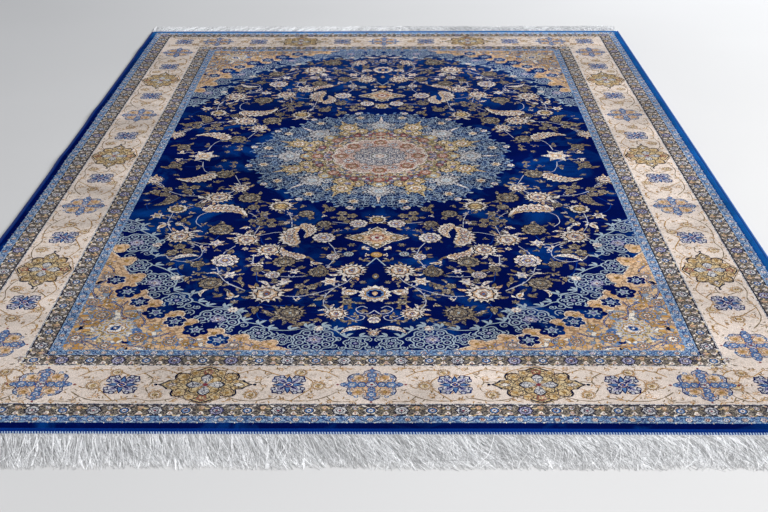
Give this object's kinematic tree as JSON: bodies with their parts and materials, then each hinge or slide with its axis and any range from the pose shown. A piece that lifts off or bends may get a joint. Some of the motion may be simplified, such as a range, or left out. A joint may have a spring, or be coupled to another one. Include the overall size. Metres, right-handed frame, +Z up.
{
  "type": "fringed pile rug",
  "caption": "Flat rectangular knotted pile rug with bordered medallion design, overcast long sides, stitched headings and a loose warp fringe at both ends.",
  "frame": {"origin": "middle of the rug on the floor it lies on", "axes": "+Y along the rug's length towards the far end, +X across it, +Z up through the pile"},
  "size_m": [2, 3.2286, 0.0129],
  "materials": {
    "pile": "knotted silk and wool pile, navy field with ivory, gold and light blue design",
    "selvedge": "overcast wool binding in blue",
    "heading": "flat stitched heading in light blue",
    "fringe": "white cotton warp ends"
  },
  "bodies": {
    "root": {"pile_rug": "pile", "selvedge_left": "selvedge", "selvedge_right": "selvedge", "heading_near": "heading", "heading_far": "heading", "fringe_near": "fringe", "fringe_far": "fringe"}
  },
  "joints": []
}
